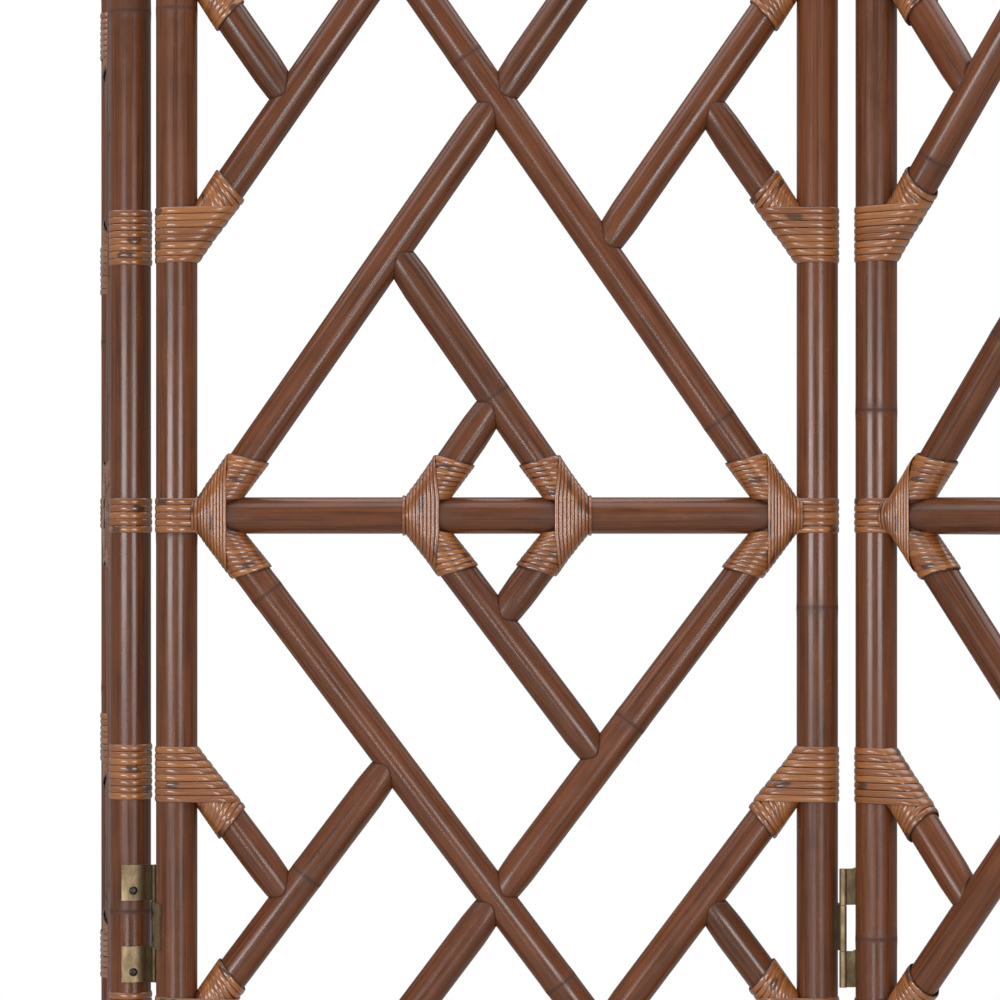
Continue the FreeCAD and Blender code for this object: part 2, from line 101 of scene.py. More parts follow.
class PeelSizes(bpy.types.PropertyGroup):
    """Sizes of the wound peel"""
    thickness: length("Peel thickness", "Crown of a strip over its flat side", 0.95)
    gap: length("Peel gap", "Between a strip and the pole under it", 0.1)
    layer_gap: length("Layer gap", "Between a strip and the layer under it", 0.1)
    band_width: length("Band strip", "Strip round a post and a fret together", 5.05)
    band_pitch: length("Band pitch", "Between neighbouring turns of a band", 5.1)
    band_shift: length("Band shift", "How far a band lies off the foot of its fret, away from the fan", 2.2)
    band_turns: number_of("Band turns", "Turns of a band on a post", 8)
    tie_count: number_of("Ties", "Ties round a post at a rail", 5)
    tie_tuck: length("Tie tuck", "How far the ends of the ties go under the web", 4.0)
    fan_width: length("Fan strip", "Overlapping strip round one pole", 4.95)
    post_fan_turns: number_of("Post fan turns", "Turns of a fan beside a band", 10)
    rail_fan_pitch: length("Rail fan pitch", "Height between the turns of a fan beside a web", 3.4)
    post_fan_first: length("Post fan start", "Along a fret from the post to its fan", 3.0)
    post_fan_last: length("Post fan end", "Along a fret from the post to the end of its fan", 40.5)
    rail_fan_rise: length("Rail fan height", "Height of a fan above or below a rail at a post", 26.6)
    knot_fan_rise: length("Knot fan height", "The same at the small diamonds", 25.2)
    web_width: length("Web strip", "Upright strip over a rail", 2.36)
    web_pitch: length("Web pitch", "Between neighbouring turns of a web", 2.35)
    web_turns: number_of("Web turns", "Upright turns over a rail at a post", 11)
    knot_web_turns: number_of("Knot web turns", "The same at the small diamonds", 10)
    web_back: length("Web start", "First upright turn, back from the meeting of the braces", 11.2)
    web_lift: length("Web lift", "How far a web's first turn stands over the ties beside a post", 2.4)
    knot_web_back: length("Knot web start", "The same at the small diamonds", 9.2)
    knot_web_bow: length("Knot web bow", "How far a web's last turn bends along the rail there", 4.2)
    first_tilt: angle("First tilt", "Lean of a post fan's first turn from square to the pole", 50.0)
    last_tilt: angle("Last tilt", "Lean of a post fan's last turn from square to the pole", 13.0)
    rail_tilt: angle("Rail fan tilt", "Lean of a rail fan's last turn from square to the pole", -20.0)
    overlap: length("Overlap", "How far a turn of a fan stands over the turn before", 0.12)
    slack: length("Slack", "Straight run that lets a turn climb to the next", 0.15)


class ScrewSizes(bpy.types.PropertyGroup):
    """Sizes of the hinge screws"""
    head_diameter: length("Head diameter", "Domed head of a hinge screw", 6.3)
    head_height: length("Head height", "Rise of the dome", 1.3)
    head_sunk: length("Head sunk", "How far the dome sits below the face of the solid's head", 0.2)
    screw_diameter: length("Shank diameter", "Shank of a hinge screw", 2.9)
    screw_length: length("Shank length", "Length of the shank under the head", 10.0)


class Finish(bpy.types.PropertyGroup):
    """Colours of the finishes"""
    pole_red: colour("Pole red", "Warm side of the stain", "713e21")
    pole_umber: colour("Pole umber", "Dark side of the stain", "472b1e")
    # Dark fibres and growth rings; the same colour is painted shade at the coped ends of the poles
    pole_streak_and_shade: colour("Pole streak", "Dark fibres and growth rings", "1e120d")
    peel_honey: colour("Peel honey", "Natural skin of the peel", "9c602f")
    peel_brown: colour("Peel brown", "Darker strips of the peel", "7c4521")
    # Stain along a strip's edges; the same colour is painted shade where strips meet
    peel_edge_stain_and_shade: colour("Peel groove", "Stain that gathered along a strip's edges", "33180b")
    brass: colour("Brass", "Aged brass of the hinges", "a68f6e")
    # Brown patina of the brass; laid on thick, the same colour is painted shade on hinge tabs and knuckles
    # in shade
    patina_and_shade: colour("Patina", "Brown film on the brass", "514433")


class Panel:
    """Place of one panel in the frame, and its own measures, from its two posts and its rails."""

    def __init__(self, name):
        self.name = name
        ends = [self.middle(side + "_post") for side in ("left", "right")]
        across = ends[1] - ends[0]
        self.half_width = across.length / 2
        across.normalize()
        centre = (ends[0] + ends[1]) / 2
        back = UP.cross(across)
        columns = (across, back, UP, Vector((centre.x, centre.y, 0.0)))
        self.matrix = Matrix([[column[row] for column in columns] for row in range(3)] + [[0, 0, 0, 1]])
        self.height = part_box(name + "_left_post")[1][2]
        names = ("bottom_rail", "lower_rail", "upper_rail", "top_rail")
        self.rails = {rail: self.middle(rail).z for rail in names}
        self.cells = list(zip(names, names[1:]))

    def middle(self, node):
        low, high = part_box(self.name + "_" + node)
        return (Vector(low) + Vector(high)) / 2


class Pole:
    """Straight pole between two points of a panel, with the poles that its ends are coped to.

    It is drawn darker beside its bindings: at places along it, on the side of a heading.
    """

    def __init__(self, start, end, radius, start_mates=(), end_mates=(), dark_bands=()):
        self.dark_bands = dark_bands
        self.start = Vector(start)
        self.end = Vector(end)
        self.radius = radius
        self.mates = (start_mates, end_mates)
        self.along = (self.end - self.start).normalized()

    def depth_in(self, point, heading):
        """How far a line from inside this pole runs along a heading before it leaves the pole."""
        off = point - self.start
        off = off - self.along * off.dot(self.along)
        across = heading - self.along * heading.dot(self.along)
        a = across.dot(across)
        b = off.dot(across)
        c = off.dot(off) - self.radius ** 2
        inside = b * b - a * c
        return (-b + math.sqrt(inside)) / a if inside > 0 else 0.0


CORNER_WEB = 0.0135       # from where the braces meet on a rail to the inner edge of their web
KNOT_WEB = 0.0167         # the same at the small diamonds


def panel_poles(panel, sizes):
    """Poles of one panel by node, in the panel's own axes."""
    reach = panel.half_width - sizes.corner_inset
    split = (1 - sizes.knot_offset / reach) / 2
    post_radius = sizes.post_diameter / 2
    rail_radius = sizes.rail_diameter / 2
    radius = sizes.fret_diameter / 2
    poles = {}
    for side, name in ((-1, "left_post"), (1, "right_post")):
        x = side * panel.half_width
        poles[name] = [Pole((x, 0, 0), (x, 0, panel.height), post_radius)]
    left = poles["left_post"]
    right = poles["right_post"]
    corner = sizes.corner_inset + CORNER_WEB
    knot = panel.half_width - sizes.knot_offset + KNOT_WEB
    span = 2 * panel.half_width
    dark_bands = [(corner, 1), (knot, 1), (span - knot, -1), (span - corner, -1)]
    for name, z in panel.rails.items():
        ends = (-panel.half_width, 0, z), (panel.half_width, 0, z)
        poles[name] = [Pole(*ends, rail_radius, left, right, dark_bands)]
    for name in ("long_braces", "half_braces", "inner_frets", "outer_frets"):
        poles[name] = []
    for low, high in panel.cells:
        half = (panel.rails[high] - panel.rails[low]) / 2
        middle = panel.rails[low] + half

        def spot(x, rise):
            return Vector((x, 0.0, middle + rise))

        long_brace = Pole(spot(-reach, half), spot(reach, -half), radius,
                          poles[high] + left, poles[low] + right)
        poles["long_braces"].append(long_brace)
        for side, rail, post in ((-1, low, left), (1, high, right)):
            corner = spot(side * reach, side * half)
            half_brace = Pole(corner, spot(0, 0), radius, poles[rail] + post, [long_brace])
            poles["half_braces"].append(half_brace)
            leave = spot(side * split * reach, side * split * half)
            far_knot = spot(-side * sizes.knot_offset, side * half)
            inner = Pole(leave, far_knot, radius, [half_brace], poles[rail])
            tip = spot(0, side * (half - sizes.knot_offset * half / reach))
            near = Pole(spot(side * sizes.knot_offset, side * half), tip, radius, poles[rail], [inner])
            poles["inner_frets"] += [inner, near]
            climb = panel.half_width * half / reach - 2 * split * half
            leave = spot(side * split * reach, -side * split * half)
            outer = Pole(leave, spot(side * panel.half_width, side * climb), radius, [long_brace], post)
            tip = spot(side * 2 * split * reach, 0)
            short = Pole(tip, spot(side * panel.half_width, -side * climb), radius, [outer], post)
            poles["outer_frets"] += [outer, short]
    return poles


POLE_SIDES = 32
NODE_CLEAR = 0.06         # no growth ring nearer than this to the end of a pole
NODE_SPREAD = (0.75, 1.2)    # least and greatest distance of growth rings, as shares of the usual one
POLE_TONES = (0.25, 0.8)  # darkest and lightest tone at the start of a pole
TONE_STEP = 0.3           # how far the tone can change at a growth ring
PATTERN_LENGTH = 40.0     # length of the pattern of fibres that a pole takes its share of
# Rings of vertices at a growth ring: place along the pole in mm, share of the swell, darkness, side
NODE_RINGS = ((-9.0, 0.0, 0.0, 0), (-2.6, 0.8, 0.15, 0), (-0.7, 1.0, 0.7, 0),
              (0.5, 0.7, 1.0, 1), (2.2, 0.45, 0.25, 1), (10.0, 0.0, 0.0, 1))
# Rings at a coped end: room to the mate in mm, share of the radius, darkness; that darkness is painted
# shade in the joint against the mate
COPED_RINGS = ((0.0, 0.92, 1.0), (2.2, 0.945, 0.2), (16.0, 1.0, 0.0))
# Rings beside a binding, where the pole is drawn darker: place beyond the edge of the binding in mm,
# darkness
DARK_BAND_RINGS = ((-6.0, 0.0), (-2.0, 0.65), (3.0, 0.5), (10.0, 0.25), (22.0, 0.0))
DARK_BAND_CLEAR = 0.035        # no growth ring nearer than this to a dark band


def growth_rings(span, sizes, dice):
    """Places of the growth rings along a pole."""
    places = []
    place = NODE_CLEAR + dice.random() * sizes.node_spacing
    while place < span - NODE_CLEAR:
        places.append(place)
        place += sizes.node_spacing * dice.uniform(*NODE_SPREAD)
    return places


def cane_rings(pole, sizes, dice):
    """Rings of a pole: place along it, share of its radius, darkness, tone and room to the coped end."""
    span = (pole.end - pole.start).length
    tone = dice.uniform(*POLE_TONES)
    rings = [(0.0, 1.0, 0.0, tone, None)]
    if pole.mates[0]:
        rings = [(0.0, share, dark, tone, room * MM) for room, share, dark in COPED_RINGS]
    for place in growth_rings(span, sizes, dice):
        if any(abs(place - dark_band) < DARK_BAND_CLEAR for dark_band, _ in pole.dark_bands):
            continue
        after = min(1.0, max(0.0, tone + dice.uniform(-TONE_STEP, TONE_STEP)))
        for step, swell, dark, side in NODE_RINGS:
            share = 1 + swell * sizes.node_swell / pole.radius
            rings.append((place + step * MM, share, dark, after if side else tone, None))
        tone = after
    for dark_band, heading in pole.dark_bands:
        for step, dark in DARK_BAND_RINGS:
            place = dark_band + heading * step * MM
            before = [ring for ring in rings if ring[0] < place][-1]
            rings.insert(rings.index(before) + 1, (place, 1.0, dark, before[3], None))
    if not pole.mates[1]:
        return rings + [(span, 1.0, 0.0, tone, None)]
    return rings + [(span, share, dark, tone, room * MM) for room, share, dark in reversed(COPED_RINGS)]


def cane(pole, sizes, dice):
    """Tube of one pole with its growth rings, coped or sawn ends, and its own UV map."""
    bm = bmesh.new()
    uv = bm.loops.layers.uv.new("cane")
    tint = bm.verts.layers.float.new("tint")
    node = bm.verts.layers.float.new("node")
    turn = pole.along.to_track_quat("Z", "Y").to_matrix().to_4x4()
    bmesh.ops.create_circle(bm, segments=POLE_SIDES, radius=pole.radius, cap_ends=False,
                            matrix=Matrix.Translation(pole.start) @ turn)
    ring = list(bm.verts)
    spokes = [vert.co - pole.start for vert in ring]
    middle = (pole.end - pole.start).length / 2
    columns = {}
    end_rings = []
    rings = cane_rings(pole, sizes, dice)
    for number, (place, share, dark, tone, room) in enumerate(rings):
        if number:
            ring = extruded(bm, ring)
        at_start = place < middle
        mates = pole.mates[0 if at_start else 1]
        heading = pole.along if at_start else -pole.along
        centre = pole.start + pole.along * place
        for i, vert in enumerate(ring):
            vert.co = centre + spokes[i] * share
            if room is not None:
                tip = centre + spokes[i] * COPED_RINGS[0][1]
                vert.co += heading * (room + max(mate.depth_in(tip, heading) for mate in mates))
            vert[tint] = tone
            vert[node] = dark
            columns[vert] = i
        if number in (0, len(rings) - 1):
            end_rings.append((ring, mates))
    around = 2 * math.pi * pole.radius
    shift = dice.uniform(0.0, PATTERN_LENGTH)
    for face in bm.faces:
        face.smooth = True
        steps = [columns[loop.vert] for loop in face.loops]
        wraps = max(steps) - min(steps) > 1
        for loop, step in zip(face.loops, steps):
            step = step + POLE_SIDES if wraps and step == 0 else step
            loop[uv].uv = (step / POLE_SIDES * around, (loop.vert.co - pole.start).dot(pole.along) + shift)
    for end_ring, mates in end_rings:
        cap = bmesh.ops.contextual_create(bm, geom=ring_edges(end_ring))["faces"][0]
        if not mates:
            cap.material_index = 1
            for loop in cap.loops:
                spoke = loop.vert.co - pole.start
                loop[uv].uv = (spoke.x, spoke.y)
            bmesh.ops.bevel(bm, geom=list(cap.edges), offset=sizes.end_round, offset_type="OFFSET",
                            segments=2, profile=0.5, affect="EDGES", material=-1)
    bmesh.ops.recalc_face_normals(bm, faces=bm.faces)
    return bm


def extruded(bm, ring):
    """Ring of new vertices drawn out of a ring, in the same order."""
    made = bmesh.ops.extrude_edge_only(bm, edges=ring_edges(ring))["geom"]
    fresh = {v for v in made if isinstance(v, bmesh.types.BMVert)}
    return [next(e.other_vert(v) for e in v.link_edges if e.other_vert(v) in fresh) for v in ring]


def ring_edges(ring):
    """Edges that join the vertices of a closed ring in turn."""
    pairs = zip(ring, ring[1:] + ring[:1])
    return [next(e for e in a.link_edges if e.other_vert(a) == b) for a, b in pairs]


class Turn:
    """One turn of peel in the plane of DEPTH and a direction: two bends joined by straight runs.

    Each bend is skewed so that the strip lies along the edge of the pole that it goes round.
    """

    def __init__(self, centre, direction, first, last, radii, edges):
        self.normal = direction.cross(DEPTH)
        self.direction = direction
        self.bends = (centre + direction * first, centre + direction * last)
        self.radii = radii
        self.lean = math.asin((radii[0] - radii[1]) / (last - first))
        self.skews = [edge.dot(direction) / edge.dot(self.normal) for edge in edges]

    def outward(self, side):
        """Unit vector off the straight run on the front (-1) or the back (1)."""
        return self.direction * math.sin(self.lean) + DEPTH * (side * math.cos(self.lean))

    def section(self, bend, side, width, thickness):
        """Points of the strip's section where a bend meets a run."""
        outward = self.outward(side)
        inner = self.bends[bend] + outward * (self.radii[bend] - thickness / 2)
        return [inner + self.normal * (across * width) + outward * (crown * thickness)
                for across, crown, _ in SECTION]

    def swing(self, bend):
        """Angle that a bend turns through."""
        return math.pi + (2 if bend == 0 else -2) * self.lean

    def shift(self, bend, point):
        """Move of a point of a bend along the edge of its pole."""
        across = (point - self.bends[bend]).dot(self.normal)
        return self.direction * (across * self.skews[bend])


# Section of a strip: place across it, height of its crown, and place across its UV map
SECTION = ((-0.5, 0.0, 0.0), (0.5, 0.0, 1.0), (0.485, 0.33, 0.95), (0.34, 0.78, 0.8), (0.0, 1.0, 0.5),
           (-0.34, 0.78, 0.2), (-0.485, 0.33, 0.05))
# How much wider the dark rims of a strip are drawn at its two bends, where the next turn covers them; the
# widening is painted shade beside the overlap
EVEN_RIMS = (1.0, 1.0)
POST_FAN_RIMS = (1.45, 1.2)
RAIL_FAN_RIMS = (1.1, 1.55)
CROWN = 4                 # the point of the section at the top of its crown
BEND_STEPS = 9
SHARP = math.radians(65)
PEEL_LENGTH = 9.0         # length of the peel that a strip is cut from


class Strip:
    """Strip of peel that grows ring by ring along its turns."""

    def __init__(self, section, turn, bend, rims, dice):
        self.bm = bmesh.new()
        self.rims = rims
        self.tint = self.bm.verts.layers.float.new("tint")
        self.uv = self.bm.loops.layers.uv.new("strip")
        self.ring = [self.bm.verts.new(point) for point in section]
        for a, b in zip(self.ring, self.ring[1:] + self.ring[:1]):
            self.bm.edges.new((a, b))
        self.travel = dice.uniform(0.0, PEEL_LENGTH)
        self.shade = dice.random()
        self.places = {}
        self.shifts = {}
        self.note(turn, bend)
        self.cap()

    def cap(self):
        bmesh.ops.contextual_create(self.bm, geom=ring_edges(self.ring))

    def note(self, turn, bend):
        """Keep what the newest ring needs once the strip is whole."""
        for vert, (_, _, across) in zip(self.ring, SECTION):
            vert[self.tint] = self.shade
            self.places[vert] = (self.travel, 0.5 + (across - 0.5) * self.rims[bend])
            self.shifts[vert] = turn.shift(bend, vert.co)

    def bend(self, turn, bend):
        """Go round one bend of a turn."""
        step = turn.swing(bend) / BEND_STEPS
        rotation = Matrix.Rotation(step, 3, turn.normal)
        for _ in range(BEND_STEPS):
            self.ring = extruded(self.bm, self.ring)
            bmesh.ops.rotate(self.bm, verts=self.ring, cent=turn.bends[bend], matrix=rotation)
            self.travel += turn.radii[bend] * step
            self.note(turn, bend)

    def run(self, section, turn, bend):
        """Go straight to a section at a bend."""
        last = self.ring[CROWN].co.copy()
        self.ring = extruded(self.bm, self.ring)
        for vert, point in zip(self.ring, section):
            vert.co = point
        self.travel += (self.ring[CROWN].co - last).length
        self.note(turn, bend)

    def finish(self):
        self.cap()
        for vert, shift in self.shifts.items():
            vert.co += shift
        for face in self.bm.faces:
            face.smooth = True
            for loop in face.loops:
                loop[self.uv].uv = self.places[loop.vert]
        bmesh.ops.recalc_face_normals(self.bm, faces=self.bm.faces)
        for edge in self.bm.edges:
            edge.smooth = edge.calc_face_angle(0.0) < SHARP
        return self.bm


def winding(turns, width, thickness, rims, lightest, dice):
    """One unbroken strip of peel: each turn climbs to the next along its back."""
    strip = Strip(turns[0].section(0, 1, width, thickness), turns[0], 0, rims, dice)
    for turn, after in zip(turns, turns[1:] + [None]):
        strip.shade = dice.random() * lightest
        strip.bend(turn, 0)
        strip.run(turn.section(1, -1, width, thickness), turn, 1)
        strip.bend(turn, 1)
        if after:
            strip.run(after.section(0, 1, width, thickness), after, 0)
    return strip.finish()


def tie(turn, width, thickness, dice):
    """Strip round the outside of a post, whose two ends tuck under the web."""
    strip = Strip(turn.section(1, 1, width, thickness), turn, 1, EVEN_RIMS, dice)
    strip.run(turn.section(0, 1, width, thickness), turn, 0)
    strip.bend(turn, 0)
    strip.run(turn.section(1, -1, width, thickness), turn, 1)
    return strip.finish()


def spread(first, last, count):
    return [first + (last - first) * i / (count - 1) for i in range(count)]


COVERED_DIP = 1.4         # how fast the turns of a fan go down under a band
LIFTED_TURNS = 4          # turns of a web over the ties
LIFTED_SHARE = 0.36       # how much tighter a lifted turn's bends are, as a share of its lift
OVER_MIDDLE = 0.3         # how far the middle turn of a band goes out to the layer over the fan
OVER_SLOPE = 1.6          # how fast that grows over the height of the band, towards the fan
TURN_WOBBLE = math.radians(1.5)    # how far the turns of a fan and the slope of a band stray
BAND_WOBBLE = 0.2 * MM    # how far a turn of a band strays up or down
BAND_SLACK = (-0.1 * MM, 0.3 * MM)    # how loose the turns of a band lie at the fret
WEB_SLACK = (-0.05 * MM, 0.12 * MM)    # how loose the turns of a web lie
TIE_WOBBLE = 0.15 * MM    # how far a tie strays up or down


# Kind of web: its turns, how far back it starts, the lift of its first turns, the bow of its last turns,
# the height of its fans, the lightest tint of its strips
Web = namedtuple("Web", "turns back lift bow rise lightest")
KNOT_TINT = 0.4           # the strips over the small diamonds' knots are darker ones


class Bindings:
    """Wound peel of one panel, in the panel's own axes."""

    def __init__(self, panel, poles, peel):
        self.panel = panel
        self.peel = peel
        self.post_radius = poles.post_diameter / 2
        self.rail_radius = poles.rail_diameter / 2
        self.pole_radius = poles.fret_diameter / 2
        self.inset = poles.corner_inset
        self.knot = poles.knot_offset
        self.reach = panel.half_width - poles.corner_inset
        self.on_post = self.post_radius + peel.gap + peel.thickness / 2
        self.lower_layer = self.pole_radius + peel.gap + peel.thickness / 2
        self.upper_layer = self.lower_layer + peel.thickness + peel.layer_gap
        self.halves = {pair: (panel.rails[pair[1]] - panel.rails[pair[0]]) / 2 for pair in panel.cells}
        self.leans = {pair: math.atan2(self.reach, half) for pair, half in self.halves.items()}

    def wind(self, turns, width, lightest, dice):
        return winding(turns, width, self.peel.thickness, EVEN_RIMS, lightest, dice)

    def wind_fan(self, turns, rims, dice):
        return winding(turns, self.peel.fan_width, self.peel.thickness, rims, 1.0, dice)

    def fan(self, foot, along, outer, tilts, places, covered, dice):
        """Turns round one pole whose planes swing from tilt to tilt, each lying on the turn before."""
        turns = []
        for i, (tilt, place) in enumerate(zip(tilts, places)):
            # Turns that a band covers dip into the fret under it
            open_side = 1 - COVERED_DIP * (1 - (i + 1) / len(tilts)) if covered else 1.0
            tilt += dice.uniform(-TURN_WOBBLE, TURN_WOBBLE)
            direction = outer * math.cos(tilt) - along * math.sin(tilt)
            radius = self.lower_layer + i * self.peel.overlap
            half = self.past_round(radius, math.cos(tilt)) + self.peel.slack
            turns.append(Turn(foot + along * place, direction, -half, half * open_side, (radius, radius),
                              (along, along)))
        return turns

    def slopes(self, inward, rising, lean):
        """Direction along a leaning pole, and square to it on its open side."""
        along = Vector((inward * math.sin(lean), 0.0, rising * math.cos(lean)))
        outer = Vector((inward * math.cos(lean), 0.0, -rising * math.sin(lean)))
        return along, outer

    def at_post(self, post_x, level, inward, rising, lean, dice):
        """Band round a post and the fret that leaves it, and the fan round the fret beside it."""
        peel = self.peel
        foot = Vector((post_x + inward * self.post_radius, 0.0, level))
        along, outer = self.slopes(inward, rising, lean)
        tilts = spread(peel.first_tilt, peel.last_tilt, peel.post_fan_turns)
        places = spread(peel.post_fan_first, peel.post_fan_last, peel.post_fan_turns)
        fan = self.fan(foot, along, outer, tilts, places, True, dice)
        height = peel.band_pitch * (peel.band_turns - 1)
        slope = dice.uniform(-TURN_WOBBLE, TURN_WOBBLE)
        direction = Vector((inward * math.cos(slope), 0.0, math.sin(slope)))
        band = []
        for offset in spread(-height / 2, height / 2, peel.band_turns):
            # Only the turns nearest to the fan go round outside it
            over = min(1.0, max(0.0, OVER_MIDDLE + offset * rising / height * OVER_SLOPE))
            edge = (self.lower_layer + (self.upper_layer - self.lower_layer) * over) / math.cos(lean)
            offset += dice.uniform(-BAND_WOBBLE, BAND_WOBBLE) - rising * peel.band_shift
            fret_axis = self.post_radius + math.tan(lean) * rising * offset
            far = fret_axis + edge - self.upper_layer + peel.slack + dice.uniform(*BAND_SLACK)
            centre = Vector((post_x, 0.0, level + offset))
            band.append(Turn(centre, direction, 0.0, far, (self.on_post, self.upper_layer), (UP, along)))
        return [self.wind(band, peel.band_width, 1.0, dice), self.wind_fan(fan, POST_FAN_RIMS, dice)]

    def past_round(self, radius, share):
        """How far past a round bend a turn has to reach when it meets a pole aslant."""
        outside = radius + self.peel.thickness / 2
        return outside / share - outside

    def rail_fan(self, vertex, inward, rising, lean, rise, dice):
        """Fan round a brace or fret where it leaves a rail."""
        peel = self.peel
        along, outer = self.slopes(inward, rising, lean)
        turns = round(rise / peel.rail_fan_pitch) + 1
        heights = spread(self.rail_radius, self.rail_radius + rise, turns)
        tilts = spread(-lean, peel.rail_tilt, turns)
        places = [height / math.cos(lean) for height in heights]
        return self.fan(vertex, along, outer, tilts, places, False, dice)

    def web(self, vertex, inward, leans, kind, dice):
        """Upright turns over a rail and the poles above and below it, which widen with the poles."""
        peel = self.peel
        turns = []
        for i in range(kind.turns):
            beyond = i * peel.web_pitch - kind.back
            # The first turns lie over the front of the ties
            front = kind.lift * max(0.0, 1 - i / LIFTED_TURNS) ** 2
            radius = self.upper_layer - front * LIFTED_SHARE + dice.uniform(*WEB_SLACK)
            reach = {-1: 0.0, 1: 0.0}
            edges = {-1: ACROSS, 1: ACROSS}
            for rising, lean in leans.items():
                past_pole = beyond / math.tan(lean) + self.past_round(radius, math.sin(lean))
                if past_pole > 0:
                    reach[rising] = past_pole
                    edges[rising] = self.slopes(inward, rising, lean)[0]
            centre = vertex + Vector((inward * beyond, -front, 0.0))
            turns.append(Turn(centre, UP, -reach[-1] - peel.slack, reach[1] + peel.slack, (radius, radius),
                              (edges[-1], edges[1])))
        return turns

    def bow(self, web, vertex, inward, kind):
        """Bends the last turns of a web along the rail, most where they cross it."""
        tip = max(abs(vert.co.z - vertex.z) for vert in web.verts)
        for level in (-self.rail_radius, self.rail_radius):
            bmesh.ops.bisect_plane(web, geom=[*web.verts, *web.edges, *web.faces],
                                   plane_co=vertex + UP * level, plane_no=UP)
        for vert in web.verts:
            across = inward * (vert.co.x - vertex.x) + kind.back
            share = max(0.0, across / (kind.turns * self.peel.web_pitch)) ** 2
            height = max(abs(vert.co.z - vertex.z), self.rail_radius)
            vert.co.x += inward * kind.bow * share * (tip - height) / (tip - self.rail_radius)

    def at_rail(self, vertex, inward, leans, kind, dice):
        """Web over a rail between one or two fans."""
        turns = self.web(vertex, inward, leans, kind, dice)
        web = self.wind(turns, self.peel.web_width, kind.lightest, dice)
        self.bow(web, vertex, inward, kind)
        made = [web]
        for rising, lean in leans.items():
            fan = self.rail_fan(vertex, inward, rising, lean, kind.rise, dice)
            made.append(self.wind_fan(fan, RAIL_FAN_RIMS, dice))
        return made

    def ties(self, post_x, level, inward, dice):
        """Flat ties round the outside of a post at a rail."""
        peel = self.peel
        leg = self.inset - peel.web_back - peel.web_width / 2 + peel.tie_tuck
        height = peel.band_pitch * (peel.tie_count - 1)
        made = []
        for offset in spread(-height / 2, height / 2, peel.tie_count):
            centre = Vector((post_x, 0.0, level + offset + dice.uniform(-TIE_WOBBLE, TIE_WOBBLE)))
            # The ends bed down on the round of the rail
            depth = math.sqrt(self.rail_radius ** 2 - offset ** 2) - peel.thickness
            turn = Turn(centre, Vector((inward, 0.0, 0.0)), 0.0, leg, (self.on_post, depth), (UP, UP))
            made.append(tie(turn, peel.band_width, peel.thickness, dice))
        return made

    def leans_at(self, rail):
        """Lean of the braces above (1) and below (-1) a rail."""
        leans = {}
        for pair, lean in self.leans.items():
            if rail in pair:
                leans[1 if pair[0] == rail else -1] = lean
        return leans

    def post_bindings(self, dice):
        made = []
        for pair, half in self.halves.items():
            middle = self.panel.rails[pair[0]] + half
            split = (1 - self.knot / self.reach) / 2
            meeting = (self.panel.half_width - self.post_radius) * half / self.reach - 2 * split * half
            for inward in (1, -1):
                for side in (-1, 1):
                    level = middle + side * meeting
                    post_x = -inward * self.panel.half_width
                    made += self.at_post(post_x, level, inward, -side, self.leans[pair], dice)
        return made

    def rail_end_bindings(self, dice):
        peel = self.peel
        kind = Web(peel.web_turns, peel.web_back, peel.web_lift, 0.0, peel.rail_fan_rise, 1.0)
        made = []
        for rail, level in self.panel.rails.items():
            for side in (-1, 1):
                vertex = Vector((side * self.reach, 0.0, level))
                made += self.at_rail(vertex, -side, self.leans_at(rail), kind, dice)
                made += self.ties(side * self.panel.half_width, level, -side, dice)
        return made

    def rail_bindings(self, dice):
        peel = self.peel
        kind = Web(peel.knot_web_turns, peel.knot_web_back, 0.0, peel.knot_web_bow, peel.knot_fan_rise,
                   KNOT_TINT)
        made = []
        for rail, level in self.panel.rails.items():
            for side in (-1, 1):
                vertex = Vector((side * self.knot, 0.0, level))
                made += self.at_rail(vertex, -side, self.leans_at(rail), kind, dice)
        return made


def joined(parts):
    """One mesh of several bmeshes, which are freed."""
    whole = bmesh.new()
    for part in parts:
        piece = bpy.data.meshes.new("part")
        part.to_mesh(piece)
        part.free()
        whole.from_mesh(piece)
        bpy.data.meshes.remove(piece)
    mesh = bpy.data.meshes.new("whole")
    whole.to_mesh(mesh)
    whole.free()
    return mesh


def place(mesh, name, body, node, slot, materials):
    """Makes an object of a finished mesh that rides on a body and stands for a CAD node."""
    mesh.name = name
    for material in materials:
        mesh.materials.append(material)
    piece = bpy.data.objects.new(name, mesh)
    bpy.context.scene.collection.objects.link(piece)
    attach(piece, body)
    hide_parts(node)
    return piece


def add(tree, kind, inputs=None, **settings):
    """Adds a node with its settings; an input given as a node is linked from its first output in use."""
    node = tree.nodes.new(kind)
    for key, value in settings.items():
        setattr(node, key, value)
    for key, value in (inputs or {}).items():
        if isinstance(value, bpy.types.Node):
            value = next(socket for socket in value.outputs if socket.enabled)
        if isinstance(value, bpy.types.NodeSocket):
            tree.links.new(value, node.inputs[key])
        else:
            node.inputs[key].default_value = value
    return node


def finished(name, surface, *values):
    """Material of a name, made once; a surface function gives the inputs of its shader."""
    material = bpy.data.materials.get(name)
    if material:
        return material
    material = bpy.data.materials.new(name)
    material.use_nodes = True
    tree = material.node_tree
    tree.nodes.clear()
    shader = add(tree, "ShaderNodeBsdfPrincipled", surface(tree, *values))
    add(tree, "ShaderNodeOutputMaterial", {"Surface": shader})
    return material


MIX_FROM = 6              # sockets of a mix node for its two colours
MIX_TO = 7


def per_size(*millimetres):
    """Mapping scale that makes one unit of pattern as large as the sizes given in mm."""
    return tuple(1 / (size * MM) if size else 0.0 for size in millimetres)


def rgba(value):
    return (*value, 1.0)


